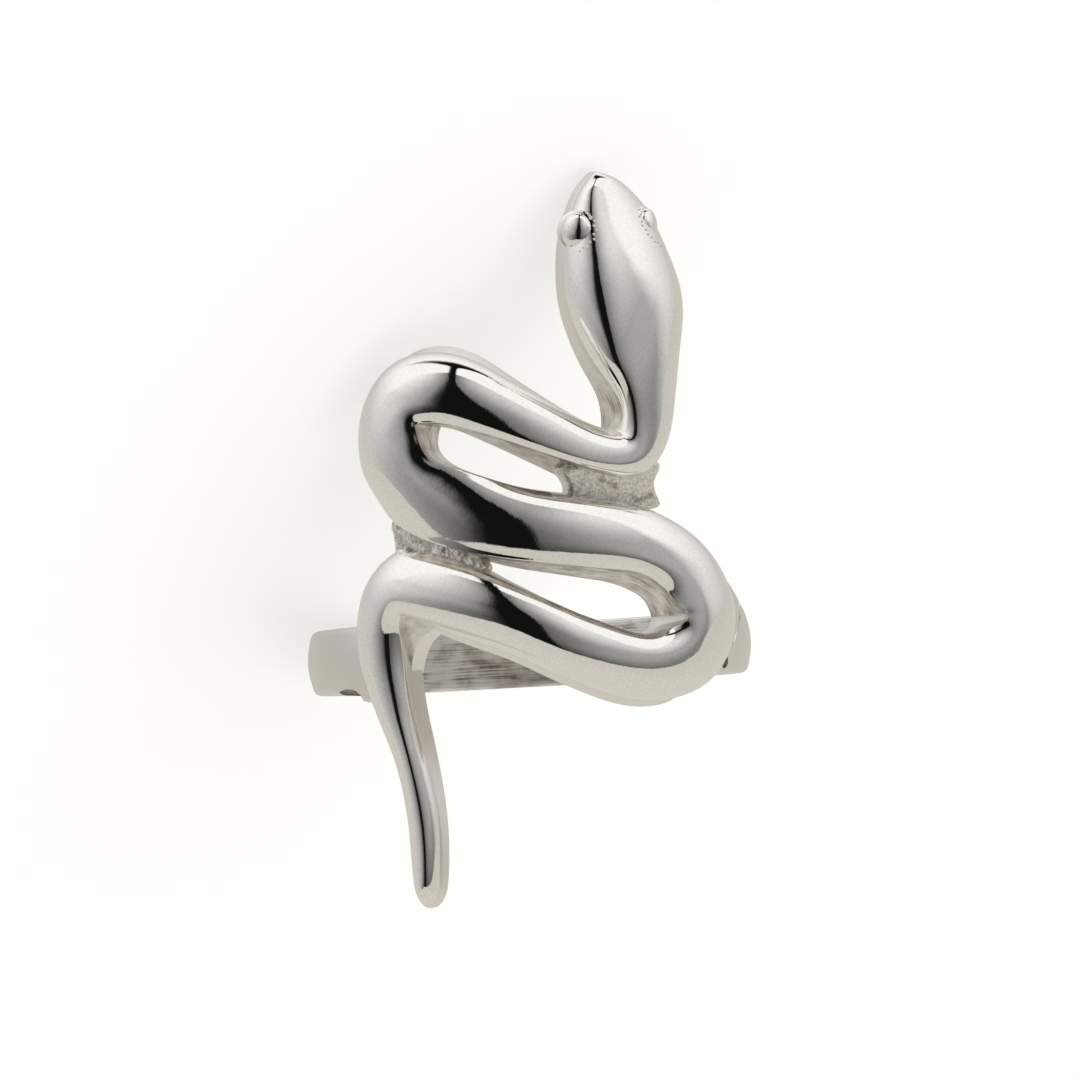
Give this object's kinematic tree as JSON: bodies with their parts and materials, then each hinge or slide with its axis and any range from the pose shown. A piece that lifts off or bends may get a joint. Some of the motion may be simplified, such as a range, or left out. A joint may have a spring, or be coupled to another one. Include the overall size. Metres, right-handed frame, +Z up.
{
  "type": "snake ring",
  "caption": "Cast metal finger ring: a smooth snake winds along the finger in soldered bends, head at the fingertip end and tail hanging, on a plain open shank.",
  "frame": {"origin": "on the table, under the middle of the ring's box as it lies at rest", "axes": "+Z up from the table; -Y the side from which the snake's face is seen, which looks up at about 30 degrees; +X to that viewer's right. The finger's axis runs along (0.636, 0.382, 0.670), from the head end up to the tail end"},
  "size_m": [0.029, 0.0256, 0.0183],
  "materials": {
    "polished_silver": "mirror-polished sterling silver, left as cast on the walls between the bends and at the solder"
  },
  "bodies": {
    "root": {"ring": "polished_silver"}
  },
  "joints": []
}
